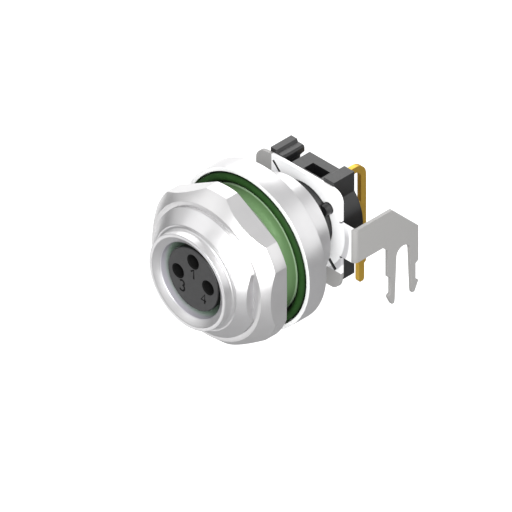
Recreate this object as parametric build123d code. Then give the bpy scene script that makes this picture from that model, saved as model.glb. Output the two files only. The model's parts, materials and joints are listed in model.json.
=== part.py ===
from build123d import *
import os
from math import cos, radians, sin, sqrt

# A round sensor connector for a panel wall, with its tails soldered to a board behind that wall.
# The connector's axis is Y and the mating side looks along -Y, with +Z up, all in millimetres.
# The origin is on the axis, in the plane where the flange's front lip meets the panel.
# A length is named by what it measures, and a name ending in _y is a place along the axis.

# Housing, turned from bar: socket nose, thread for the panel, flange and rear spigot
nose_front_y = -7.0
nose_length = 0.93
nose_radius = 4.5
nose_rim_bevel = 0.1
nose_root_fillet = 0.25
mouth_radius = 4.17
mouth_depth = 0.41
socket_radius = 3.55
step_radius = 4.9
thread_radius = 6.0
wrench_flat_half_width = 5.5
wrench_flat_length = 1.45
panel_groove_width = 1.1
panel_groove_depth = 0.7
panel_lip_width = 0.4
flange_thickness = 2.05
flange_front_bevel = 0.06
flange_rear_bevel = 0.12
spigot_radius = 4.8
spigot_length = 3.2
spigot_bevel = 0.12

# Hex nut on the same thread, 14 mm across its flats, its corners turned to the flange's size
nut_wall = 1.0
nut_face_width = 0.47
nut_front_bevel_length = 1.17
nut_rear_bevel_length = 0.5
nut_thickness = 3.0
nut_rear_y = -1.7
nut_bore_clearance = 0.05
nut_bore_bevel = 0.12

# Round seals: one under the panel wall, one on the floor of the socket
panel_ring_clearance = 0.08
insert_ring_clearance = 0.035

# Contact carrier, one moulding: post, barrel, key peg and the block over the board
post_face_y = -6.3
post_radius = 2.8
post_edge_bevel = 0.06
socket_floor_y = -2.9
barrel_radius = 3.25
barrel_fit_clearance = 0.05
block_front_y = 7.2
block_depth = 2.43
disc_radius = 4.23
disc_top_height = 4.1
column_half_width = 3.21
platform_left_x = -2.1
board_top_z = -5.7
horn_inner_x = 1.95
horn_height = 4.7
horn_edge_bevel = 0.12
pocket_left_x = -0.75
pocket_right_x = 1.28
pocket_wall = 0.38
pocket_length = 1.1
pocket_floor_height = 2.7
latch_left_x = -4.3
latch_step_x = -3.6
latch_nose_x = -2.7
latch_step_height = 0.24
latch_nose_height = 0.6
latch_hook_height = 1.2
latch_hook_depth = 0.48
latch_stem_depth = 0.6
latch_outer_root_z = 2.96
latch_inner_root_z = 2.12
peg_radius = 0.48
peg_angle = 37.0
peg_circle_radius = 3.62
peg_front_y = 6.2

# Contacts: a socket for a 1 mm pin, then a flat tail bent down to the board
contact_circle_radius = 1.77
pin_bore_radius = 0.5
pin_bore_length = 4.4
pin_guide_clearance = 0.1
pin_guide_length = 1.15
pin_mouth_radius = 0.7
socket_contact_radius = 0.72
socket_contact_length = 5.4
socket_slit_width = 0.12
socket_slit_length = 3.0
contact_cavity_clearance = 0.03
tail_width = 0.45
tail_depth = 0.62
tail_passage_clearance = 0.03
tail_bend_radius = 0.95
tail_tip_z = -8.2
tail_tip_bevel = 0.2
tail_tip_bevel_height = 0.12
front_row_y = 11.7
row_pitch = 2.0

# Shield clip, bent from one sheet: plate round the barrel, two ears, two arms with snap forks
sheet = 0.33
plate_half_width = 4.36
plate_half_height = 4.34
plate_corner_radius = 1.1
plate_hole_clearance = 0.05
peg_notch_clearance = 0.07
ear_reach = 5.58
ear_fold_x = 3.88
ear_width = 1.68
ear_corner_radius = 1.0
ear_fold_angle = 6.0
slit_inner_radius = 4.2
slit_outer_radius = 5.25
slit_width = 0.17
slit_angle = 134.0
arm_outer_x = 6.0
arm_bend_radius = 0.12
arm_top_z = 1.26
arm_bottom_z = -2.08
arm_rear_slope_height = 3.07
relief_width = 0.18
relief_depth = 0.22
fork_centre_y = 12.62
fork_shoulder_half_width = 1.8
fork_leg_half_width = 1.47
fork_gap_half_width = 0.8
fork_leg_taper = 0.2
fork_arch_z = -3.0
fork_shoulder_gap = 0.15
fork_neck_bevel = 0.6
fork_shoulder_slope = 0.2
board_thickness = 1.6
snap_clearance = 0.1
snap_slope = 0.2
snap_lead_in = 0.85
leg_tip_z = -8.36
leg_tip_width = 0.26
leg_tip_height = 0.36
leg_tip_slope = 0.15

# Places that follow from the sizes above
nose_root_y = nose_front_y + nose_length
cone_length = thread_radius - step_radius
thread_front_y = nose_root_y + cone_length
spigot_rear_y = flange_thickness + spigot_length
lip_inner_radius = thread_radius + panel_groove_width
flange_radius = lip_inner_radius + panel_lip_width
nut_front_y = nut_rear_y - nut_thickness
nut_face_radius = thread_radius + nut_face_width
nut_corner_radius = flange_radius
nut_bore_radius = thread_radius + nut_bore_clearance
housing_bore_radius = barrel_radius + barrel_fit_clearance
block_rear_y = block_front_y + block_depth
plate_front_y = block_front_y - sheet
contact_front_y = post_face_y + pin_guide_length + contact_cavity_clearance
contact_rear_y = contact_front_y + socket_contact_length
pin_guide_radius = pin_bore_radius + pin_guide_clearance
peg_x = peg_circle_radius * cos(radians(peg_angle))
peg_z = peg_circle_radius * sin(radians(peg_angle))

# Each contact by its number: its place on the face and the row its tail stands in
contact_places = {
    "contact_1": (0.0, contact_circle_radius, front_row_y + row_pitch),
    "contact_3": (-contact_circle_radius, 0.0, front_row_y),
    "contact_4": (contact_circle_radius, 0.0, front_row_y),
}


def outline(*points):
    """A flat closed shape through the points, in order."""
    return make_face(Polyline(*points, close=True))


def softened(shape, corner, radius):
    """The flat shape with the corner nearest to the given point rounded."""
    vertex = shape.vertices().sort_by_distance((*corner, 0))[0]
    return fillet(vertex, radius)


def turned(shape):
    """A solid turned about the connector's axis from a half section of (radius, y) points."""
    return revolve(shape, axis=Axis.Y)


def across(shape, front_y, rear_y):
    """The flat shape, drawn as the mating side sees it, made solid between two places on the axis."""
    face_on = Plane(origin=(0, rear_y, 0), x_dir=(1, 0, 0), z_dir=(0, -1, 0))
    return extrude(face_on * shape, rear_y - front_y)


def rod(radius, front_y, rear_y, x=0.0, z=0.0):
    """A round bar along the axis direction."""
    return across(Pos(x, z) * Circle(radius), front_y, rear_y)


def ring(section_radius, centre_radius, centre_y):
    """A round seal about the connector's axis."""
    return turned(Pos(centre_radius, centre_y) * Circle(section_radius))


def make_housing():
    """Turned body with the socket nose, panel thread, sealing groove, flange and rear spigot."""
    section = outline(
        (mouth_radius, nose_front_y),
        (nose_radius - nose_rim_bevel, nose_front_y),
        (nose_radius, nose_front_y + nose_rim_bevel),
        (nose_radius, nose_root_y),
        (step_radius, nose_root_y),
        (thread_radius, thread_front_y),
        (thread_radius, panel_groove_depth),
        (lip_inner_radius, panel_groove_depth),
        (lip_inner_radius, 0),
        (flange_radius - flange_front_bevel, 0),
        (flange_radius, flange_front_bevel),
        (flange_radius, flange_thickness - flange_rear_bevel),
        (flange_radius - flange_rear_bevel, flange_thickness),
        (spigot_radius, flange_thickness),
        (spigot_radius, spigot_rear_y - spigot_bevel),
        (spigot_radius - spigot_bevel, spigot_rear_y),
        (housing_bore_radius, spigot_rear_y),
        (housing_bore_radius, socket_floor_y),
        (socket_radius, socket_floor_y),
        (socket_radius, nose_front_y + mouth_depth),
    )
    section = softened(section, (nose_radius, nose_root_y), nose_root_fillet)
    body = turned(section)
    flat_front_y = nose_root_y
    flat_rear_y = flat_front_y + wrench_flat_length
    flat_depth = thread_radius
    waste = Rectangle(flat_depth, 2 * thread_radius)
    offset = wrench_flat_half_width + flat_depth / 2
    for side in (-1, 1):
        body -= across(Pos(side * offset, 0) * waste, flat_front_y, flat_rear_y)
    return body


def make_hex_nut():
    """Nut with a long cone on its front corners and a short one behind, bored for the thread."""
    apothem = thread_radius + nut_wall
    blank = turned(
        outline(
            (nut_bore_radius + nut_bore_bevel, nut_front_y),
            (nut_face_radius, nut_front_y),
            (nut_corner_radius, nut_front_y + nut_front_bevel_length),
            (nut_corner_radius, nut_rear_y - nut_rear_bevel_length),
            (nut_face_radius, nut_rear_y),
            (nut_bore_radius + nut_bore_bevel, nut_rear_y),
            (nut_bore_radius, nut_rear_y - nut_bore_bevel),
            (nut_bore_radius, nut_front_y + nut_bore_bevel),
        )
    )
    hexagon = RegularPolygon(apothem, 6, major_radius=False, rotation=30)
    return blank & across(hexagon, nut_front_y, nut_rear_y)


def make_panel_o_ring():
    """Seal in the flange's groove, standing proud of the lip so that the panel squeezes it."""
    section_radius = panel_groove_width / 2 - panel_ring_clearance
    centre_radius = (thread_radius + lip_inner_radius) / 2
    return ring(section_radius, centre_radius, panel_groove_depth - section_radius)


def make_insert_seal():
    """Seal on the socket's floor, round the foot of the post."""
    section_radius = (socket_radius - post_radius) / 2 - insert_ring_clearance
    centre_radius = (post_radius + socket_radius) / 2
    return ring(section_radius, centre_radius, socket_floor_y - section_radius)


def block_section():
    """The block over the board as the mating side sees it: disc, column, platform, horn and latch."""
    disc_span = Rectangle(2 * disc_radius, 2 * disc_radius)
    disc = Circle(disc_radius) & Pos(0, disc_top_height - disc_radius) * disc_span
    column = Pos(0, board_top_z / 2) * Rectangle(2 * column_half_width, -board_top_z)
    platform_width = column_half_width - platform_left_x
    platform_centre = (column_half_width + platform_left_x) / 2
    platform = Pos(platform_centre, disc_top_height / 2) * Rectangle(platform_width, disc_top_height)
    horn_width = column_half_width - horn_inner_x
    horn_centre = (horn_inner_x + column_half_width) / 2
    horn = Pos(horn_centre, horn_height / 2) * Rectangle(horn_width, horn_height)
    horn = softened(horn, (horn_inner_x, horn_height), horn_edge_bevel)
    shelf = horn_height - latch_step_height
    latch = outline(
        (latch_left_x, latch_outer_root_z),
        (latch_left_x, horn_height),
        (latch_step_x, horn_height),
        (latch_step_x + latch_step_height / 2, shelf),
        (latch_nose_x, shelf),
        (latch_nose_x, shelf - latch_nose_height),
        (latch_nose_x - latch_hook_depth, shelf - latch_hook_height),
        (latch_nose_x - latch_stem_depth, latch_inner_root_z),
        (latch_step_x, latch_inner_root_z),
    )
    latch = softened(latch, (latch_nose_x, shelf), latch_step_height)
    return disc + column + platform + horn + latch


def make_contact_carrier():
    """Moulding with the contact post, the barrel that the housing holds, the key peg and the block."""
    body = turned(
        outline(
            (0, post_face_y),
            (post_radius - post_edge_bevel, post_face_y),
            (post_radius, post_face_y + post_edge_bevel),
            (post_radius, socket_floor_y),
            (barrel_radius, socket_floor_y),
            (barrel_radius, block_front_y),
            (0, block_front_y),
        )
    )
    body += across(block_section(), block_front_y, block_rear_y)
    body += rod(peg_radius, peg_front_y, block_front_y, peg_x, peg_z)
    pocket_width = pocket_right_x - pocket_left_x
    pocket_centre = (pocket_left_x + pocket_right_x) / 2
    pocket_height = horn_height - pocket_floor_height
    pocket = Pos(pocket_centre, pocket_floor_height + pocket_height / 2) * Rectangle(
        pocket_width, pocket_height
    )
    pocket_front_y = block_front_y + pocket_wall
    body -= across(pocket, pocket_front_y, pocket_front_y + pocket_length)
    cavity_radius = socket_contact_radius + contact_cavity_clearance
    guide_rear_y = post_face_y + pin_guide_length
    mouth_slope = pin_mouth_radius - pin_guide_radius
    mouth = turned(
        outline(
            (0, post_face_y),
            (pin_mouth_radius, post_face_y),
            (pin_guide_radius, post_face_y + mouth_slope),
            (pin_guide_radius, guide_rear_y),
            (cavity_radius, guide_rear_y),
            (cavity_radius, contact_rear_y + contact_cavity_clearance),
            (0, contact_rear_y + contact_cavity_clearance),
        )
    )
    passage = Rectangle(
        tail_width + 2 * tail_passage_clearance, tail_depth + 2 * tail_passage_clearance
    )
    for x, z, _ in contact_places.values():
        body -= Pos(x, 0, z) * mouth
        body -= across(Pos(x, z) * passage, contact_rear_y, block_rear_y)
    return body


def make_contact(x, z, row_y):
    """A socket slit so that it springs on its pin, and its flat tail bent down to the board."""
    socket = turned(
        outline(
            (pin_bore_radius, contact_front_y),
            (socket_contact_radius, contact_front_y),
            (socket_contact_radius, contact_rear_y),
            (0, contact_rear_y),
            (0, contact_front_y + pin_bore_length),
            (pin_bore_radius, contact_front_y + pin_bore_length),
        )
    )
    slit = Rectangle(socket_slit_width, 2 * (socket_contact_radius + contact_cavity_clearance))
    socket -= across(slit, contact_front_y, contact_front_y + socket_slit_length)
    path = FilletPolyline(
        (0, contact_rear_y - tail_depth, 0),
        (0, row_y, 0),
        (0, row_y, tail_tip_z - z),
        radius=tail_bend_radius,
    )
    start = Plane(origin=path @ 0, x_dir=(1, 0, 0), z_dir=(0, 1, 0))
    tail = sweep(start * Rectangle(tail_width, tail_depth), path)
    tip = tail.faces().sort_by(Axis.Z)[0]
    tail = chamfer(tip.edges().filter_by(Axis.X), tail_tip_bevel, tail_tip_bevel_height)
    return Pos(x, 0, z) * (socket + tail)


def make_ear():
    """The upper left ear of the plate, folded forward a little about an upright line."""
    length = ear_reach - ear_fold_x
    tab = Pos(-length / 2, ear_width / 2) * Rectangle(length, ear_width)
    tab = softened(tab, (-length, ear_width), ear_corner_radius)
    fold = Pos(-ear_fold_x, block_front_y, plate_half_height - ear_width)
    return fold * Rot(0, 0, ear_fold_angle) * across(tab, -sheet, 0)


def fork_outline():
    """The arm and its fork as the +X side sees them, in (y, z) points, before the arch is cut."""
    shoulder_z = board_top_z + fork_shoulder_gap
    snap_z = board_top_z - board_thickness - snap_clearance
    lead_z = snap_z - snap_lead_in
    tip_outer = fork_leg_half_width - leg_tip_slope
    tip_inner = tip_outer - leg_tip_width
    half = [
        (fork_shoulder_half_width, shoulder_z + fork_shoulder_slope),
        (fork_leg_half_width, shoulder_z),
        (fork_leg_half_width, snap_z + snap_slope),
        (fork_shoulder_half_width, snap_z),
        (tip_outer + leg_tip_slope / 2, lead_z),
        (tip_outer, leg_tip_z),
        (tip_inner, leg_tip_z),
        (fork_gap_half_width + fork_leg_taper, leg_tip_z + leg_tip_height),
    ]
    front_leg = [(fork_centre_y - out, z) for out, z in half]
    rear_leg = [(fork_centre_y + out, z) for out, z in reversed(half)]
    neck = fork_centre_y - fork_shoulder_half_width
    heel = fork_centre_y + fork_shoulder_half_width
    return outline(
        (plate_front_y, arm_top_z),
        (plate_front_y, arm_bottom_z),
        (neck - fork_neck_bevel, arm_bottom_z),
        (neck, arm_bottom_z - fork_neck_bevel),
        *front_leg,
        (fork_centre_y - fork_gap_half_width, fork_arch_z - fork_gap_half_width),
        (fork_centre_y + fork_gap_half_width, fork_arch_z - fork_gap_half_width),
        *rear_leg,
        (heel, arm_top_z - arm_rear_slope_height),
        (heel - arm_rear_slope_height, arm_top_z),
    )


def make_arm():
    """The +X arm: a strip bent back from the plate, cut to the fork's outline."""
    root_x = plate_half_width - relief_depth
    inner_x = arm_outer_x - sheet
    rear_y = fork_centre_y + fork_shoulder_half_width
    bend = outline(
        (root_x, plate_front_y),
        (arm_outer_x, plate_front_y),
        (arm_outer_x, rear_y),
        (inner_x, rear_y),
        (inner_x, block_front_y),
        (root_x, block_front_y),
    )
    bend = softened(bend, (arm_outer_x, plate_front_y), arm_bend_radius + sheet)
    bend = softened(bend, (inner_x, block_front_y), arm_bend_radius)
    strip = Pos(0, 0, leg_tip_z) * extrude(bend, arm_top_z - leg_tip_z)
    side_on = Plane(origin=(0, 0, 0), x_dir=(0, 1, 0), z_dir=(1, 0, 0))
    blank = extrude(side_on * fork_outline(), 2 * arm_outer_x)
    arch = Pos(fork_centre_y, fork_arch_z - fork_gap_half_width) * Circle(fork_gap_half_width)
    blank -= extrude(side_on * arch, 2 * arm_outer_x)
    return strip & blank


def make_shield_clip():
    """The bent sheet: plate, ears and arms in one piece."""
    plate = Rectangle(2 * plate_half_width, 2 * plate_half_height)
    round_corners = [
        plate.vertices().sort_by_distance((sign * plate_half_width, sign * plate_half_height, 0))[0]
        for sign in (-1, 1)
    ]
    plate = fillet(round_corners, plate_corner_radius)
    hole = Circle(barrel_radius + plate_hole_clearance)
    notch = Pos(peg_x, peg_z) * Circle(peg_radius + peg_notch_clearance)
    slit_length = slit_outer_radius - slit_inner_radius
    slit_centre = (slit_inner_radius + slit_outer_radius) / 2
    slit = Pos(slit_centre, 0) * Rectangle(slit_length, slit_width)
    upper_slit = Rot(0, 0, slit_angle) * slit
    lower_slit = Rot(0, 0, 90 - slit_angle) * slit
    relief_x = plate_half_width - relief_depth / 2
    reliefs = [
        Pos(side * relief_x, z) * Rectangle(relief_depth, relief_width)
        for side in (-1, 1)
        for z in (arm_top_z + relief_width / 2, arm_bottom_z - relief_width / 2)
    ]
    ear_middle = plate_half_height - ear_width / 2
    ear_gap_reach = 2 * (plate_half_width - ear_fold_x)
    upper_gap = Pos(-plate_half_width, ear_middle) * Rectangle(ear_gap_reach, ear_width)
    lower_gap = Pos(ear_middle, -plate_half_width) * Rectangle(ear_width, ear_gap_reach)
    plate -= [hole, notch, upper_slit, lower_slit, upper_gap, lower_gap, *reliefs]
    clip = across(plate, plate_front_y, block_front_y)
    ear = make_ear()
    swap = Plane(origin=(0, 0, 0), z_dir=(1 / sqrt(2), 0, -1 / sqrt(2)))
    arm = make_arm()
    clip += [ear, mirror(ear, about=swap), arm, mirror(arm, about=Plane.YZ)]
    return clip


def main():
    os.makedirs("parts", exist_ok=True)
    pieces = {
        "housing": make_housing(),
        "hex_nut": make_hex_nut(),
        "panel_o_ring": make_panel_o_ring(),
        "insert_seal": make_insert_seal(),
        "contact_carrier": make_contact_carrier(),
        "shield_clip": make_shield_clip(),
    }
    for name, (x, z, row_y) in contact_places.items():
        pieces[name] = make_contact(x, z, row_y)
    for name, piece in pieces.items():
        export_step(piece, f"parts/{name}.step")


main()
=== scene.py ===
"""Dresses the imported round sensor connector: metal, seals, moulding, contacts and shield clip."""

import json
from math import atan2, cos, hypot, pi, radians, sin

import bmesh
import bpy
from mathutils import Matrix, Vector

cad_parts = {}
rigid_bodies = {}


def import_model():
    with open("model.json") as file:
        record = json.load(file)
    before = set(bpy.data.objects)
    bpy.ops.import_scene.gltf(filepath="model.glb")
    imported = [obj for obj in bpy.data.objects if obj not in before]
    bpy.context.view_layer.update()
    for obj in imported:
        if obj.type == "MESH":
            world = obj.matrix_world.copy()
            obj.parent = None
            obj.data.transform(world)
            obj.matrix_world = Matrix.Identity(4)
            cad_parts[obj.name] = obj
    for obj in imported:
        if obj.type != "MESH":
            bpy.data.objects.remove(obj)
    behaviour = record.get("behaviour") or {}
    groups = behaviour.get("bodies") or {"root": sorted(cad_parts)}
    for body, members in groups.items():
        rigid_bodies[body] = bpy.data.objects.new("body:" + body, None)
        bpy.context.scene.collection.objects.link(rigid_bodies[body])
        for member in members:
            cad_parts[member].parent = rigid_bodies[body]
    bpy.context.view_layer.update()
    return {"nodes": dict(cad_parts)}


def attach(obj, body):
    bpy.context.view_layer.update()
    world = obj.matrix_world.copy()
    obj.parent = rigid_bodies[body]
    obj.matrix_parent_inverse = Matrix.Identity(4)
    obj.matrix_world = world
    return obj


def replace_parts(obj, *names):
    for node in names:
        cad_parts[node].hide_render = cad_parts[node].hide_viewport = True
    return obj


for stray in list(bpy.data.objects):
    bpy.data.objects.remove(stray)

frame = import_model()

MM = 0.001

# Sizes the pieces share, in millimetres, as the source of the solids has them
NOSE_FRONT_Y = -7.0
NOSE_RADIUS = 4.5
NOSE_FILLET = 0.25
SOCKET_MOUTH_RADIUS = 4.17
SOCKET_MOUTH_Y = -6.59
SOCKET_RADIUS = 3.55
SOCKET_FLOOR_Y = -2.9
REAR_BORE_RADIUS = 3.3
THREAD_RADIUS = 6.0
THREAD_END_RADIUS = 4.9
THREAD_FRONT_Y = -6.07
THREAD_CONE_REAR_Y = -4.97
GROOVE_RADIUS = 7.1
GROOVE_FLOOR_Y = 0.7
FLANGE_RADIUS = 7.5
FLANGE_REAR_Y = 2.05
SPIGOT_RADIUS = 4.8
SPIGOT_REAR_Y = 5.25
FLAT_X = 5.5
FLAT_FRONT_Y = -6.12
FLAT_REAR_Y = -4.62
NUT_FRONT_Y = -4.7
NUT_REAR_Y = -1.7
NUT_HALF_WIDTH = 7.0
NUT_CORNER_RADIUS = 7.5
NUT_FACE_RADIUS = 6.47
NUT_FRONT_CONE = 1.17
NUT_REAR_CONE = 0.5
POST_RADIUS = 2.8
POST_FACE_Y = -6.3
PIN_RADIUS = 1.77
PIN_CENTRES = {"1": (0.0, PIN_RADIUS), "3": (-PIN_RADIUS, 0.0), "4": (PIN_RADIUS, 0.0)}
GUIDE_RADIUS = 0.6
MOUTH_RADIUS = 0.7
EAR_FOLD = 3.88
EAR_EDGE = 2.66
SLIT_ANGLE = radians(134)
ARM_BEND = 5.65

# Small details that only the dressed pieces have, in millimetres
TURNED_ROUNDING = 0.05
NUT_ROUNDING = 0.04
MOULDING_ROUNDING = 0.03
SHEET_ROUNDING = 0.02
NUT_BORE = 6.01
NUT_INNER_EDGES = 6.2
NUT_REAR_STEP = 0.47
NUT_REAR_STEP_RADIUS = 6.95
POST_RIM = 2.98
RIM_DEPTH = 0.07
LINER_LENGTH = 1.1
LINER_SINK = 0.003
LINER_WALL = 0.025
STROKE_WIDTH = 0.18
STROKE_FLATNESS = 0.1

# The photograph's view: a parallel view along a cube's diagonal
VIEW_AZIMUTH = radians(45)
VIEW_ELEVATION = radians(35.264)
PIXELS_PER_MM = 11.93
FRAME_PIXELS = 512
AIM_ACROSS = 5.277
AIM_UP = 1.949
CAMERA_DISTANCE = 400
CAMERA_NEAR = 10
CAMERA_FAR = 10000

FLOOR_Z = -60.0
FLOOR_REACH = 2000
FLOOR_GREY = (0.27, 0.27, 0.272)
ROOM_GREY = (0.62, 0.62, 0.622)

# How much of the white background the metal shows: in full it is far lighter than in the photograph
MIRRORED_ROOM = 0.15
MIRRORED_FLOOR = 0.03


# Shapes


def new_object(name, mesh):
    """Puts a mesh in the scene as an object of its own."""
    piece = bpy.data.objects.new(name, mesh)
    bpy.context.scene.collection.objects.link(piece)
    return piece


def mesh_of(form, name):
    """Turns a bmesh into a mesh and frees it."""
    mesh = bpy.data.meshes.new(name)
    form.to_mesh(mesh)
    form.free()
    return mesh


def form_of(piece):
    """The piece's mesh with its modifiers applied, as a bmesh."""
    bpy.context.view_layer.update()
    graph = bpy.context.evaluated_depsgraph_get()
    mesh = bpy.data.meshes.new_from_object(piece.evaluated_get(graph))
    form = bmesh.new()
    form.from_mesh(mesh)
    bpy.data.meshes.remove(mesh)
    return form


def tidy(form, distance=0.0005):
    """Closes seams and poles and turns every face outwards."""
    bmesh.ops.remove_doubles(form, verts=form.verts, dist=distance)
    bmesh.ops.recalc_face_normals(form, faces=form.faces)


def sharp_edges(form, limit):
    """The edges where two faces meet at more than the limit."""
    return [e for e in form.edges if len(e.link_faces) == 2 and e.calc_face_angle() > limit]


def break_edges(form, edges, width, segments=3):
    """Rounds the given edges so that they catch the light."""
    bmesh.ops.bevel(
        form,
        geom=edges,
        offset=width,
        offset_type="OFFSET",
        segments=segments,
        profile=0.5,
        affect="EDGES",
        clamp_overlap=True,
        material=-1,
    )


def round_over(form, width, limit=radians(15), segments=3):
    """Rounds every edge that is sharper than the limit."""
    break_edges(form, sharp_edges(form, limit), width, segments)


def shade(form, limit):
    """Smooth faces, with a crease kept at each edge sharper than the limit."""
    for face in form.faces:
        face.smooth = True
    for edge in form.edges:
        edge.smooth = len(edge.link_faces) == 2 and edge.calc_face_angle() <= limit


def settle(form, name, material, body, crease=radians(30)):
    """Makes the finished form a piece in metres that rides on its body."""
    shade(form, crease)
    bmesh.ops.scale(form, vec=(MM, MM, MM), verts=form.verts)
    piece = new_object(name, mesh_of(form, name))
    piece.data.materials.append(material)
    even = piece.modifiers.new("even_shading", "WEIGHTED_NORMAL")
    even.keep_sharp = True
    even.weight = 80
    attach(piece, body)
    return piece


def turned_form(section, steps=240):
    """Spins a closed section of (radius, y) points about the connector's axis."""
    form = bmesh.new()
    points = [form.verts.new((radius, y, 0)) for radius, y in section]
    rim = [form.edges.new((a, b)) for a, b in zip(points, points[1:] + points[:1])]
    bmesh.ops.spin(
        form,
        geom=points + rim,
        cent=(0, 0, 0),
        axis=(0, 1, 0),
        dvec=(0, 0, 0),
        angle=2 * pi,
        steps=steps,
        use_merge=True,
        use_duplicate=False,
    )
    tidy(form)
    return form


def block_form(low, high):
    """A plain block between two corners, for use as a cutter."""
    form = bmesh.new()
    bmesh.ops.create_cube(form, size=1)
    size = [b - a for a, b in zip(low, high)]
    middle = [(a + b) / 2 for a, b in zip(low, high)]
    bmesh.ops.scale(form, vec=size, verts=form.verts)
    bmesh.ops.translate(form, vec=middle, verts=form.verts)
    return form


def combine(form, tools, operation):
    """The form after each tool is cut from it or crossed with it."""
    piece = new_object("blank", mesh_of(form, "blank"))
    cutters = []
    for tool in tools:
        cutter = new_object("cutter", mesh_of(tool, "cutter"))
        modifier = piece.modifiers.new("combine", "BOOLEAN")
        modifier.operation = operation
        modifier.solver = "EXACT"
        modifier.object = cutter
        cutters.append(cutter)
    result = form_of(piece)
    for used in [piece, *cutters]:
        bpy.data.objects.remove(used)
    tidy(result)
    return result


def copy_form(node, flatten=radians(0.4)):
    """The solid's own mesh, joined up and with its flat faces made whole, in millimetres."""
    form = bmesh.new()
    form.from_mesh(frame["nodes"][node].data)
    bmesh.ops.scale(form, vec=(1 / MM, 1 / MM, 1 / MM), verts=form.verts)
    bmesh.ops.remove_doubles(form, verts=form.verts, dist=0.0005)
    bmesh.ops.dissolve_limit(
        form,
        angle_limit=flatten,
        use_dissolve_boundaries=False,
        verts=form.verts,
        edges=form.edges,
    )
    return form


# Nodes that the finishes are built from


def add_node(material, kind, **sockets):
    """A node of the material, with values on its sockets by name."""
    node = material.node_tree.nodes.new(kind)
    for name, value in sockets.items():
        node.inputs[name.replace("_", " ")].default_value = value
    return node


def calculate(material, operation, first, second):
    """One step of arithmetic, where each side is a socket or a plain number."""
    step = add_node(material, "ShaderNodeMath")
    step.operation = operation
    for socket, value in zip(step.inputs, (first, second)):
        if isinstance(value, (int, float)):
            socket.default_value = value
        else:
            material.node_tree.links.new(value, socket)
    return step.outputs["Value"]


def carry(material, value, start, end, low=0.0, high=1.0):
    """The value's range from start to end carried to the range from low to high, and held there."""
    spread = add_node(
        material,
        "ShaderNodeMapRange",
        From_Min=start,
        From_Max=end,
        To_Min=low,
        To_Max=high,
    )
    material.node_tree.links.new(value, spread.inputs["Value"])
    return spread.outputs["Result"]


def own_place(material):
    """A surface point in the piece's own coordinates."""
    return add_node(material, "ShaderNodeTexCoord").outputs["Object"]


def own_axes(material):
    """The same point's X, Y and Z."""
    parts = add_node(material, "ShaderNodeSeparateXYZ")
    material.node_tree.links.new(own_place(material), parts.inputs["Vector"])
    return parts.outputs


def turned_place(material):
    """A surface point's distance from the connector's axis and its place along it."""
    flat = add_node(material, "ShaderNodeVectorMath")
    flat.operation = "MULTIPLY"
    flat.inputs[1].default_value = (1, 0, 1)
    length = add_node(material, "ShaderNodeVectorMath")
    length.operation = "LENGTH"
    links = material.node_tree.links
    links.new(own_place(material), flat.inputs[0])
    links.new(flat.outputs["Vector"], length.inputs[0])
    return length.outputs["Value"], own_axes(material)["Y"]


def noise(material, scale, detail=3.0, roughness=0.55, stretch=(1, 1, 1)):
    """A noise in the piece's own coordinates, stretched by the three factors."""
    stretched = add_node(material, "ShaderNodeMapping", Scale=stretch)
    grain = add_node(
        material, "ShaderNodeTexNoise", Scale=scale, Detail=detail, Roughness=roughness
    )
    links = material.node_tree.links
    links.new(own_place(material), stretched.inputs["Vector"])
    links.new(stretched.outputs["Vector"], grain.inputs["Vector"])
    return grain.outputs["Fac"]


def turning_marks(material, pitch):
    """Fine rings about the connector's axis, as a turning tool leaves them."""
    radius, along = turned_place(material)
    rings = add_node(material, "ShaderNodeTexNoise", Scale=1 / (pitch * MM), Detail=2.0)
    rings.noise_dimensions = "1D"
    material.node_tree.links.new(calculate(material, "ADD", radius, along), rings.inputs["W"])
    return rings.outputs["Fac"]


def openness(material, reach, shut, clear):
    """1 where the surface lies open and 0 deep in a crevice, judged within a reach in mm."""
    occlusion = add_node(material, "ShaderNodeAmbientOcclusion", Distance=reach * MM)
    return carry(material, occlusion.outputs["AO"], shut, clear)


def patch(material, *limits):
    """1 inside all the limits: a value, where it begins and where it is full, in millimetres."""
    whole = None
    for value, begins, full in limits:
        part = carry(material, value, begins * MM, full * MM)
        whole = part if whole is None else calculate(material, "MULTIPLY", whole, part)
    return whole


def blend_colours(material, value, first, second):
    """The first colour where the value is 0 and the second where it is 1."""
    mix = material.node_tree.nodes.new("ShaderNodeMix")
    mix.data_type = "RGBA"
    links = material.node_tree.links
    links.new(value, mix.inputs["Factor"])
    for socket, colour in zip((mix.inputs[6], mix.inputs[7]), (first, second)):
        if isinstance(colour, tuple):
            socket.default_value = (*colour, 1)
        else:
            links.new(colour, socket)
    return mix.outputs[2]


# Places of the painted patches


def neck_seal_reflection_mask(material):
    """1 on the neck and the groove's wall, where the seal's green is painted on the plate as a
    painted reflection.
    """
    radius, along = turned_place(material)
    return patch(
        material,
        (along, -1.5, -1.3),
        (along, GROOVE_FLOOR_Y - 0.08, GROOVE_FLOOR_Y - 0.2),
        (radius, GROOVE_RADIUS + 0.03, GROOVE_RADIUS),
    )


def seal_edge_highlight_mask(material):
    """1 on the line of the neck that lies against the seal, where a light green highlight is
    painted.
    """
    radius, along = turned_place(material)
    return patch(
        material,
        (along, -0.12, -0.06),
        (along, GROOVE_FLOOR_Y - 0.2, GROOVE_FLOOR_Y - 0.3),
        (radius, THREAD_RADIUS + 0.3, THREAD_RADIUS + 0.2),
    )


def lip_highlight_mask(material):
    """1 on the flange's front lip, where a matt white highlight is painted."""
    radius, along = turned_place(material)
    return patch(
        material,
        (radius, GROOVE_RADIUS + 0.03, GROOVE_RADIUS + 0.06),
        (along, 0.03, 0.01),
    )


def bore_seal_reflection_mask(material):
    """1 deep in the socket, where the seal's green on its floor is painted on the wall as a painted
    reflection.
    """
    radius, along = turned_place(material)
    return patch(
        material,
        (radius, SOCKET_RADIUS + 0.15, SOCKET_RADIUS + 0.03),
        (along, -6.2, -5.5),
    )


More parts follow.
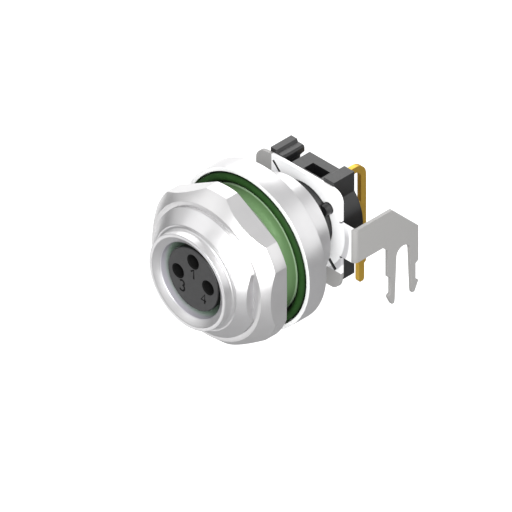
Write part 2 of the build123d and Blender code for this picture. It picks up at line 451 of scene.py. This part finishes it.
def bore_shade_mask(material):
    """1 on the socket's inner wall, which is painted a darker lavender grey as painted shade."""
    radius, along = turned_place(material)
    return patch(
        material,
        (radius, SOCKET_RADIUS + 0.15, SOCKET_RADIUS + 0.03),
        (along, -6.7, -6.5),
    )


def rim_mask(material):
    """1 on the ring of the plate that lies in the flange's shade."""
    radius, _ = turned_place(material)
    up = own_axes(material)["Z"]
    return patch(material, (radius, 4.75, 4.85), (radius, 5.38, 5.26), (up, 1.4, 0.2))


def slit_shade_mask(material):
    """1 in the plate's two slits and on their rims, which are painted black as painted shade."""
    radius, _ = turned_place(material)
    across = add_node(material, "ShaderNodeVectorMath")
    across.operation = "DOT_PRODUCT"
    across.inputs[1].default_value = (sin(SLIT_ANGLE), 0, -cos(SLIT_ANGLE))
    material.node_tree.links.new(own_place(material), across.inputs[0])
    distance = calculate(material, "ABSOLUTE", across.outputs["Value"], 0.0)
    return patch(material, (radius, 4.14, 4.18), (radius, 5.31, 5.27), (distance, 0.15, 0.11))


def fold_shade_mask(material):
    """1 on the clip's arms and ears, which are painted darker than the plate's face as painted
    shade.
    """
    axes = own_axes(material)
    fold = (-EAR_FOLD + 0.02, -EAR_FOLD - 0.02)
    edge = (EAR_EDGE - 0.04, EAR_EDGE)
    upper_ear = patch(material, (axes["X"], *fold), (axes["Z"], *edge))
    lower_ear = patch(material, (axes["Z"], *fold), (axes["X"], *edge))
    ears = calculate(material, "MAXIMUM", upper_ear, lower_ear)
    across = calculate(material, "ABSOLUTE", axes["X"], 0.0)
    arms = patch(material, (across, ARM_BEND - 0.13, ARM_BEND - 0.01))
    return calculate(material, "MAXIMUM", ears, arms)


# Finishes

# Painted highlight: the flange's front lip is painted matt white.
PAINTED_LIP_HIGHLIGHT = (0.93, 0.93, 0.935)
# Painted reflection: the seal's green on the neck and the groove's wall.
NECK_SEAL_REFLECTION = (0.136, 0.252, 0.106)
# Painted highlight: a light green line on the neck beside the seal.
SEAL_EDGE_HIGHLIGHT = (0.42, 0.62, 0.38)
# Painted shade: a darker lavender grey on the socket's inner wall.
SOCKET_WALL_SHADE = (0.39, 0.38, 0.42)
# Painted reflection: the seal's green deep in the socket.
SOCKET_SEAL_REFLECTION = (0.33, 0.45, 0.36)
SHADED_SHEET = (0.52, 0.515, 0.53)
# Painted shade: a darker grey on the clip's arms and ears.
FOLD_SHADE_GREY = (0.315, 0.311, 0.305)
# Black of the numerals' print, and painted shade in the slits and pin holes.
PRINT_AND_SHADE_BLACK = (0.004, 0.004, 0.004)


def new_finish(name, colour, metallic, roughness):
    """A material and its shader, with plain values until the details are linked."""
    material = bpy.data.materials.new(name)
    material.use_nodes = True
    nodes = material.node_tree.nodes
    shader = nodes["Principled BSDF"]
    shader.inputs["Base Color"].default_value = (*colour, 1)
    shader.inputs["Metallic"].default_value = metallic
    shader.inputs["Roughness"].default_value = roughness
    return material, shader


def vary(material, value, low, high, socket):
    """Carries a 0 to 1 value to a socket as a range from low to high."""
    material.node_tree.links.new(carry(material, value, 0.25, 0.75, low, high), socket)


def tint(material, value, dark, light, shader, patches=(), crevices=None, crevice=0.3):
    """Carries a blend of two colours to the base colour, with patches and painted shade in the
    crevices.
    """
    ramp = material.node_tree.nodes.new("ShaderNodeValToRGB")
    ramp.color_ramp.elements[0].position = 0.3
    ramp.color_ramp.elements[0].color = (*dark, 1)
    ramp.color_ramp.elements[1].position = 0.7
    ramp.color_ramp.elements[1].color = (*light, 1)
    links = material.node_tree.links
    links.new(value, ramp.inputs["Fac"])
    colour = ramp.outputs["Color"]
    for mask, patch_colour in patches:
        colour = blend_colours(material, mask, colour, patch_colour)
    # Painted shade: the colour is darkened in the crevices.
    if crevices:
        shade_colour = tuple(part * crevice for part in dark)
        colour = blend_colours(material, crevices, shade_colour, colour)
    links.new(colour, shader.inputs["Base Color"])


def roughen(material, value, low, high, crevices, shader):
    """Carries a 0 to 1 value to the roughness as a range, and leaves crevices quite dull."""
    shut = calculate(material, "SUBTRACT", 1.0, crevices)
    rough = calculate(material, "MAXIMUM", carry(material, value, 0.25, 0.75, low, high), shut)
    material.node_tree.links.new(rough, shader.inputs["Roughness"])


def relief(material, value, shader, depth, strength):
    """Carries a 0 to 1 value to the surface as bumps of a depth in millimetres."""
    bump = add_node(material, "ShaderNodeBump", Strength=strength, Distance=depth * MM)
    links = material.node_tree.links
    links.new(value, bump.inputs["Height"])
    links.new(bump.outputs["Normal"], shader.inputs["Normal"])


def plate_over(material, shader, dark, light, roughness, pitch, patches=()):
    """Bright nickel plate over turned brass, on a new material."""
    tint(material, noise(material, scale=420, detail=2), dark, light, shader, patches=patches)
    vary(material, noise(material, scale=900, detail=2), *roughness, shader.inputs["Roughness"])
    relief(material, turning_marks(material, pitch), shader, depth=0.002, strength=0.045)


def nut_finish():
    """The nut's plate."""
    dark, light = (0.69, 0.684, 0.687), (0.73, 0.723, 0.725)
    material, shader = new_finish("nickel_plate_nut", light, 0.96, 0.33)
    plate_over(material, shader, dark, light, roughness=(0.33, 0.38), pitch=0.06)
    return material


def housing_finish():
    """The same plate, with a painted highlight on the lip, painted shade in the socket, and the
    seal's green painted as a reflection beside the seal and in the socket.
    """
    dark, light = (0.69, 0.685, 0.692), (0.73, 0.725, 0.73)
    material, shader = new_finish("nickel_plate_housing", light, 0.95, 0.32)
    # Masks of painted light: glow is the seal's green painted as a reflection on the neck.
    glow = neck_seal_reflection_mask(material)
    bore = bore_shade_mask(material)
    lip = lip_highlight_mask(material)
    # Painted light on the plate: lip highlight, seal reflections, a highlight line by the seal, and
    # shade on the socket wall.
    patches = (
        (lip, PAINTED_LIP_HIGHLIGHT),
        (glow, NECK_SEAL_REFLECTION),
        (seal_edge_highlight_mask(material), SEAL_EDGE_HIGHLIGHT),
        (bore, SOCKET_WALL_SHADE),
        (bore_seal_reflection_mask(material), SOCKET_SEAL_REFLECTION),
    )
    plate_over(material, shader, dark, light, roughness=(0.32, 0.37), pitch=0.05, patches=patches)
    # The painted patches are made less metallic, so that their painted colours show.
    dull = calculate(material, "MAXIMUM", calculate(material, "MAXIMUM", glow, bore), lip)
    vary(material, dull, 0.95, 0.25, shader.inputs["Metallic"])
    return material


def rubber_finish():
    """Smooth dark green seal rubber, a little dusty, with painted shade in its crevices."""
    material, shader = new_finish("green_seal_rubber", (0.02, 0.075, 0.014), 0.0, 0.5)
    shader.inputs["Specular IOR Level"].default_value = 0.08
    crevices = openness(material, reach=0.8, shut=0.45, clear=1.0)
    dark, light = (0.012, 0.043, 0.008), (0.017, 0.055, 0.012)
    grain = noise(material, scale=1500)
    # Painted shade: the rubber is darkened nearly to black in its crevices.
    tint(material, grain, dark, light, shader, crevices=crevices, crevice=0.05)
    roughen(material, noise(material, scale=5000), 0.45, 0.6, crevices, shader)
    relief(material, noise(material, scale=14000), shader, depth=0.004, strength=0.2)
    return material


def moulding_finish():
    """Black filled plastic from a fine eroded mould, with painted shade in its crevices."""
    material, shader = new_finish("black_moulded_plastic", (0.034, 0.034, 0.035), 0.0, 0.4)
    shader.inputs["Specular IOR Level"].default_value = 0.68
    crevices = openness(material, reach=0.7, shut=0.3, clear=0.7)
    dark, light = (0.004, 0.004, 0.0045), (0.007, 0.007, 0.0075)
    grain = noise(material, scale=900)
    # Painted shade: the plastic is darkened in its crevices.
    tint(material, grain, dark, light, shader, crevices=crevices, crevice=0.03)
    roughen(material, noise(material, scale=3200), 0.34, 0.42, crevices, shader)
    relief(material, noise(material, scale=9000, detail=5), shader, depth=0.008, strength=0.3)
    return material


def gold_finish():
    """Satin gold plate over brass, with the long marks of drawn strip."""
    material, shader = new_finish("satin_gold_plate", (0.66, 0.4, 0.07), 1.0, 0.38)
    dark, light = (0.69, 0.43, 0.06), (0.75, 0.48, 0.08)
    tint(material, noise(material, scale=700), dark, light, shader)
    vary(material, noise(material, scale=4000), 0.4, 0.5, shader.inputs["Roughness"])
    marks = noise(material, scale=16000, stretch=(1, 0.12, 0.12))
    relief(material, marks, shader, depth=0.003, strength=0.2)
    return material


def sheet_finish():
    """Tin over rolled sheet, with faint roll marks along the strip, and painted shade round the
    hole, on the arms and ears, in the slits and in crevices.
    """
    material, shader = new_finish("tinned_sheet_metal", (0.92, 0.92, 0.92), 0.08, 0.35)
    # Painted shade: the rim round the hole, the arms and ears, and the slits are painted darker.
    painted_shade_patches = (
        (rim_mask(material), SHADED_SHEET),
        (fold_shade_mask(material), FOLD_SHADE_GREY),
        (slit_shade_mask(material), PRINT_AND_SHADE_BLACK),
    )
    crevices = openness(material, reach=0.4, shut=0.4, clear=0.75)
    dark, light = (0.94, 0.94, 0.95), (0.97, 0.97, 0.975)
    grain = noise(material, scale=600)
    # Painted shade: the sheet is also darkened in its crevices.
    tint(material, grain, dark, light, shader, painted_shade_patches, crevices, crevice=0.01)
    vary(material, noise(material, scale=3000), 0.32, 0.42, shader.inputs["Roughness"])
    marks = noise(material, scale=12000, stretch=(0.15, 0.15, 1))
    relief(material, marks, shader, depth=0.0006, strength=0.1)
    return material


def print_and_hole_shade_finish():
    """The black of the numerals' printed strokes, and the painted shade in the pin holes."""
    material, shader = new_finish("print_and_hole_shade_black", PRINT_AND_SHADE_BLACK, 0.0, 0.9)
    shader.inputs["Specular IOR Level"].default_value = 0.1
    vary(material, noise(material, scale=6000), 0.8, 1.0, shader.inputs["Roughness"])
    relief(material, noise(material, scale=12000), shader, depth=0.004, strength=0.3)
    return material


housing_metal = housing_finish()
nut_metal = nut_finish()
seal_rubber = rubber_finish()
black_moulding = moulding_finish()
gold_plate = gold_finish()
tinned_sheet = sheet_finish()
print_and_hole_shade_black = print_and_hole_shade_finish()


# Pieces


def arc(x, z, radius, start, end, steps=14):
    """Points along part of a circle, in degrees from the right-hand side."""
    turns = [radians(start + (end - start) * i / steps) for i in range(steps + 1)]
    return [(x + radius * cos(t), z + radius * sin(t)) for t in turns]


# The numerals' strokes across and up, as parts of a numeral's height
STROKES = {
    "1": [(-0.33, 0.2), (0, 0.46), (0, -0.46)],
    "3": arc(0, 0.21, 0.22, 150, -70) + arc(0, -0.21, 0.25, 70, -150),
    "4": [(0.14, -0.46), (0.14, 0.46), (-0.28, -0.16), (0.3, -0.16)],
}


def make_housing():
    """Socket nose, panel thread with its flats, flange with the sealing groove, rear spigot."""
    fillet_middle = 0.073
    section = [
        (SOCKET_MOUTH_RADIUS, NOSE_FRONT_Y),
        (NOSE_RADIUS, NOSE_FRONT_Y),
        (NOSE_RADIUS, THREAD_FRONT_Y - NOSE_FILLET),
        (NOSE_RADIUS + fillet_middle, THREAD_FRONT_Y - fillet_middle),
        (NOSE_RADIUS + NOSE_FILLET, THREAD_FRONT_Y),
        (THREAD_END_RADIUS, THREAD_FRONT_Y),
        (THREAD_RADIUS, THREAD_CONE_REAR_Y),
        (THREAD_RADIUS, GROOVE_FLOOR_Y),
        (GROOVE_RADIUS, GROOVE_FLOOR_Y),
        (GROOVE_RADIUS, 0),
        (FLANGE_RADIUS, 0),
        (FLANGE_RADIUS, FLANGE_REAR_Y),
        (SPIGOT_RADIUS, FLANGE_REAR_Y),
        (SPIGOT_RADIUS, SPIGOT_REAR_Y),
        (REAR_BORE_RADIUS, SPIGOT_REAR_Y),
        (REAR_BORE_RADIUS, SOCKET_FLOOR_Y),
        (SOCKET_RADIUS, SOCKET_FLOOR_Y),
        (SOCKET_RADIUS, SOCKET_MOUTH_Y),
    ]
    form = turned_form(section)
    round_over(form, TURNED_ROUNDING, segments=4)
    clear = 7
    flats = [
        block_form((FLAT_X, FLAT_FRONT_Y, -clear), (clear, FLAT_REAR_Y, clear)),
        block_form((-clear, FLAT_FRONT_Y, -clear), (-FLAT_X, FLAT_REAR_Y, clear)),
    ]
    form = combine(form, flats, "DIFFERENCE")
    return settle(
        form, "socket_housing", housing_metal, "connector", crease=radians(20)
    )


def make_nut():
    """Hex nut, its corners turned to two cones, bored for the thread."""
    blank = turned_form(
        [
            (NUT_BORE, NUT_FRONT_Y),
            (NUT_FACE_RADIUS, NUT_FRONT_Y),
            (NUT_CORNER_RADIUS, NUT_FRONT_Y + NUT_FRONT_CONE),
            (NUT_CORNER_RADIUS, NUT_REAR_Y - NUT_REAR_CONE),
            (NUT_REAR_STEP_RADIUS, NUT_REAR_Y - NUT_REAR_STEP),
            (NUT_FACE_RADIUS, NUT_REAR_Y),
            (NUT_BORE, NUT_REAR_Y),
        ]
    )
    hexagon = bmesh.new()
    corner = NUT_HALF_WIDTH / cos(pi / 6)
    bmesh.ops.create_cone(
        hexagon,
        cap_ends=True,
        segments=6,
        radius1=corner,
        radius2=corner,
        depth=NUT_REAR_Y - NUT_FRONT_Y + 1,
    )
    upright = Matrix.Rotation(pi / 2, 3, "X")
    bmesh.ops.rotate(hexagon, cent=(0, 0, 0), matrix=upright, verts=hexagon.verts)
    turn = Matrix.Rotation(nut_turn(hexagon), 3, "Y")
    bmesh.ops.rotate(hexagon, cent=(0, 0, 0), matrix=turn, verts=hexagon.verts)
    middle = (0, (NUT_FRONT_Y + NUT_REAR_Y) / 2, 0)
    bmesh.ops.translate(hexagon, vec=middle, verts=hexagon.verts)
    form = combine(blank, [hexagon], "INTERSECT")
    outer = [
        e
        for e in sharp_edges(form, radians(15))
        if hypot(e.verts[0].co.x, e.verts[0].co.z) > NUT_INNER_EDGES
    ]
    break_edges(form, outer, NUT_ROUNDING)
    return settle(form, "panel_nut", nut_metal, "nut")


def nut_turn(hexagon):
    """The turn that puts two corners of the hexagon on the upright line."""
    corner = hexagon.verts[:][0].co
    return atan2(corner.x, corner.z)


def make_seal(name, section_radius, centre_radius, centre_y, sides=40):
    """A round seal about the axis."""
    section = [
        (
            centre_radius + section_radius * cos(2 * pi * i / sides),
            centre_y + section_radius * sin(2 * pi * i / sides),
        )
        for i in range(sides)
    ]
    return settle(turned_form(section), name, seal_rubber, "connector")


def make_copy(node, name, material, width, reshape=None):
    """A piece on the solid's own shape, with its edges broken."""
    form = copy_form(node)
    if reshape:
        reshape(form)
    round_over(form, width, limit=radians(30))
    piece = settle(form, name, material, "connector")
    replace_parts(piece, node)
    return piece


def widen_rim(form):
    """Widens the post's front rim with its bevel, so that its side tapers a little to the rear."""
    for vert in form.verts:
        in_bevel = vert.co.y < POST_FACE_Y + RIM_DEPTH
        if in_bevel and hypot(vert.co.x, vert.co.z) > POST_RADIUS - RIM_DEPTH:
            vert.co.x *= POST_RIM / POST_RADIUS
            vert.co.z *= POST_RIM / POST_RADIUS


def make_numeral(text, x, z, height):
    """A contact's number on the post's face, drawn in strokes of an even width."""
    curve = bpy.data.curves.new(f"numeral_{text}", "CURVE")
    curve.dimensions = "3D"
    curve.bevel_depth = STROKE_WIDTH / 2
    curve.bevel_resolution = 3
    curve.use_fill_caps = True
    stroke = curve.splines.new("POLY")
    points = STROKES[text]
    stroke.points.add(len(points) - 1)
    for point, (across, up) in zip(stroke.points, points):
        point.co = (across * height, 0, up * height, 1)
    writing = bpy.data.objects.new(f"writing_{text}", curve)
    bpy.context.scene.collection.objects.link(writing)
    form = form_of(writing)
    bpy.data.objects.remove(writing)
    tidy(form)
    bmesh.ops.scale(form, vec=(1, STROKE_FLATNESS, 1), verts=form.verts)
    bmesh.ops.translate(form, vec=(x, POST_FACE_Y, z), verts=form.verts)
    return settle(form, f"numeral_{text}", print_and_hole_shade_black, "connector")


def make_hole_shade_liner(number, x, z):
    """A dark liner on the wall and mouth of a pin hole in the post, painted shade where the light
    doesn't reach.
    """
    mouth, rear = POST_FACE_Y + LINER_SINK, POST_FACE_Y + LINER_LENGTH
    guide = POST_FACE_Y + MOUTH_RADIUS - GUIDE_RADIUS
    section = [
        (MOUTH_RADIUS - 2 * LINER_SINK, mouth),
        (GUIDE_RADIUS - LINER_SINK, guide),
        (GUIDE_RADIUS - LINER_SINK, rear),
        (GUIDE_RADIUS - LINER_SINK - LINER_WALL, rear),
        (GUIDE_RADIUS - LINER_SINK - LINER_WALL, guide),
        (MOUTH_RADIUS - 2 * LINER_SINK - LINER_WALL, mouth),
    ]
    form = turned_form(section, steps=48)
    bmesh.ops.translate(form, vec=(x, 0, z), verts=form.verts)
    return settle(form, f"hole_shade_liner_{number}", print_and_hole_shade_black, "connector")


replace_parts(make_housing(), "housing")
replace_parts(make_nut(), "hex_nut")
panel_seal = make_seal("panel_seal", section_radius=0.47, centre_radius=6.55, centre_y=0.23)
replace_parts(panel_seal, "panel_o_ring")
socket_seal = make_seal("socket_seal", section_radius=0.34, centre_radius=3.175, centre_y=-3.24)
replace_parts(socket_seal, "insert_seal")
make_copy(
    "contact_carrier",
    "carrier_moulding",
    black_moulding,
    MOULDING_ROUNDING,
    reshape=widen_rim,
)
make_copy("shield_clip", "clip_sheet", tinned_sheet, SHEET_ROUNDING)
for number, centre in PIN_CENTRES.items():
    make_copy(
        f"contact_{number}", f"pin_contact_{number}", gold_plate, SHEET_ROUNDING
    )
    make_hole_shade_liner(number, *centre)
make_numeral("1", x=0.08, z=0.495, height=1.0)
make_numeral("3", x=-1.308, z=-1.249, height=1.17)
make_numeral("4", x=1.241, z=-1.383, height=1.01)

node_finishes = {
    "housing": housing_metal,
    "hex_nut": nut_metal,
    "panel_o_ring": seal_rubber,
    "insert_seal": seal_rubber,
    "contact_carrier": black_moulding,
    "contact_1": gold_plate,
    "contact_3": gold_plate,
    "contact_4": gold_plate,
    "shield_clip": tinned_sheet,
}
for node, finish in node_finishes.items():
    frame["nodes"][node].data.materials.clear()
    frame["nodes"][node].data.materials.append(finish)


# Stage: floor, world, lamps and camera


def background_share(path, nodes, links, mirrored):
    """1 for the camera's rays, and the given part of it for rays that metal and glass send on."""
    sent_on = nodes.new("ShaderNodeMath")
    sent_on.operation = "MAXIMUM"
    links.new(path.outputs["Is Glossy Ray"], sent_on.inputs[0])
    links.new(path.outputs["Is Transmission Ray"], sent_on.inputs[1])
    share = nodes.new("ShaderNodeMath")
    share.operation = "MULTIPLY_ADD"
    links.new(sent_on.outputs["Value"], share.inputs[0])
    share.inputs[1].default_value = mirrored
    links.new(path.outputs["Is Camera Ray"], share.inputs[2])
    return share.outputs["Value"]


def make_floor():
    """A plain pale floor, well below the object, which the camera sees white."""
    form = bmesh.new()
    bmesh.ops.create_grid(form, x_segments=1, y_segments=1, size=FLOOR_REACH)
    bmesh.ops.translate(form, vec=(0, 0, FLOOR_Z), verts=form.verts)
    bmesh.ops.scale(form, vec=(MM, MM, MM), verts=form.verts)
    floor = new_object("floor", mesh_of(form, "floor"))
    material = bpy.data.materials.new("pale_floor")
    material.use_nodes = True
    nodes = material.node_tree.nodes
    links = material.node_tree.links
    nodes.clear()
    matt = nodes.new("ShaderNodeBsdfDiffuse")
    matt.inputs["Color"].default_value = (*FLOOR_GREY, 1)
    glow = nodes.new("ShaderNodeEmission")
    path = nodes.new("ShaderNodeLightPath")
    both = nodes.new("ShaderNodeAddShader")
    out = nodes.new("ShaderNodeOutputMaterial")
    links.new(background_share(path, nodes, links, MIRRORED_FLOOR), glow.inputs["Strength"])
    links.new(matt.outputs["BSDF"], both.inputs[0])
    links.new(glow.outputs["Emission"], both.inputs[1])
    links.new(both.outputs["Shader"], out.inputs["Surface"])
    floor.data.materials.append(material)


def make_world():
    """Even grey light, and white where the camera looks past the floor."""
    world = bpy.data.worlds.new("studio")
    bpy.context.scene.world = world
    world.use_nodes = True
    nodes = world.node_tree.nodes
    links = world.node_tree.links
    nodes.clear()
    path = nodes.new("ShaderNodeLightPath")
    room = nodes.new("ShaderNodeBackground")
    room.inputs["Color"].default_value = (*ROOM_GREY, 1)
    white = nodes.new("ShaderNodeBackground")
    white.inputs["Color"].default_value = (1, 1, 1, 1)
    pick = nodes.new("ShaderNodeMixShader")
    out = nodes.new("ShaderNodeOutputWorld")
    links.new(background_share(path, nodes, links, MIRRORED_ROOM), pick.inputs["Fac"])
    links.new(room.outputs["Background"], pick.inputs[1])
    links.new(white.outputs["Background"], pick.inputs[2])
    links.new(pick.outputs["Shader"], out.inputs["Surface"])


# Each lamp's name, place, the point it looks at, width and height in millimetres, and radiance
LAMPS = [
    ("soft_view", (127, -127, 127), (0, 0, 0), (120, 120), 14.5),
    ("soft_left", (-127, -127, 127), (0, 0, 0), (150, 150), 0.68),
    ("soft_side", (-82, 44, -20), (0, 0, 0), (64, 64), 1.0),
    ("soft_back", (-127, 127, 127), (0, 0, 0), (160, 160), 1.9),
    ("soft_low", (150, -150, -5), (0, 0, 0), (130, 80), 3.3),
    ("soft_right", (145, 140, 80), (0, 0, 0), (170, 190), 0.6),
    ("soft_under", (-66, -66, -57), (-66, -66, 0), (60, 60), 1.0),
]


def make_lamp(name, place, target, size, radiance):
    """A soft panel lamp of an even brightness, which the camera doesn't see."""
    light = bpy.data.lights.new(name, "AREA")
    light.shape = "RECTANGLE"
    light.size = size[0] * MM
    light.size_y = size[1] * MM
    light.energy = radiance * pi * light.size * light.size_y
    lamp = bpy.data.objects.new(name, light)
    bpy.context.scene.collection.objects.link(lamp)
    lamp.location = Vector(place) * MM
    aim = (Vector(target) - Vector(place)).normalized()
    lamp.rotation_euler = aim.to_track_quat("-Z", "Y").to_euler()
    lamp.visible_camera = False
    return lamp


def make_camera():
    """The photograph's parallel view."""
    data = bpy.data.cameras.new("view")
    data.type = "ORTHO"
    data.ortho_scale = FRAME_PIXELS / PIXELS_PER_MM * MM
    data.clip_start = CAMERA_NEAR * MM
    data.clip_end = CAMERA_FAR * MM
    camera = bpy.data.objects.new("view", data)
    bpy.context.scene.collection.objects.link(camera)
    back = Vector(
        (
            cos(VIEW_ELEVATION) * sin(VIEW_AZIMUTH),
            -cos(VIEW_ELEVATION) * cos(VIEW_AZIMUTH),
            sin(VIEW_ELEVATION),
        )
    )
    across = Vector((cos(VIEW_AZIMUTH), sin(VIEW_AZIMUTH), 0))
    up = back.cross(across)
    aim = Vector((0, POST_FACE_Y, 0)) + AIM_ACROSS * across + AIM_UP * up
    camera.location = (aim + back * CAMERA_DISTANCE) * MM
    camera.rotation_euler = (-back).to_track_quat("-Z", "Y").to_euler()
    bpy.context.scene.camera = camera


make_floor()
make_world()
for lamp in LAMPS:
    make_lamp(*lamp)
make_camera()
bpy.context.scene.view_settings.view_transform = "Standard"
